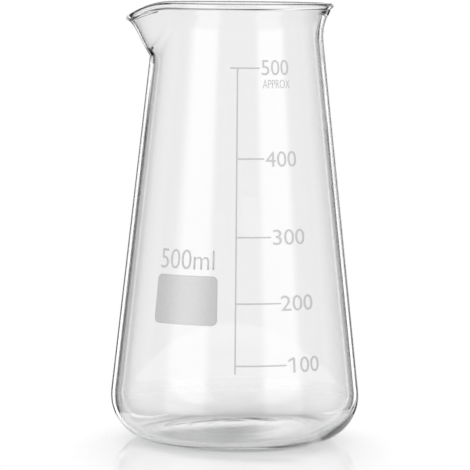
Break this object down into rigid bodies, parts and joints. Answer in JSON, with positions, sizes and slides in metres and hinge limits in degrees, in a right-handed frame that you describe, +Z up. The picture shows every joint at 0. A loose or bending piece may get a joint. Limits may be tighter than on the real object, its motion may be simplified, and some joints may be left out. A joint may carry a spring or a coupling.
{
  "type": "measuring beaker",
  "caption": "Tall tapering glass measuring beaker with a flared lip, a drawn pouring spout, a rounded heel, an enamelled volume scale and a writing spot.",
  "frame": {"origin": "on the axis, on the plane that the foot ring stands on", "axes": "+Z up the axis, -Y towards the front with the scale, -X towards the spout"},
  "size_m": [0.0862, 0.0862, 0.151],
  "materials": {
    "glass": "clear, fire polished",
    "enamel": "satin fired enamel"
  },
  "bodies": {
    "root": {"glass_body": "glass", "scale_stem": "enamel", "graduation_100": "enamel", "graduation_200": "enamel", "graduation_300": "enamel", "graduation_400": "enamel", "graduation_500": "enamel", "marking_spot": "enamel"}
  },
  "joints": []
}
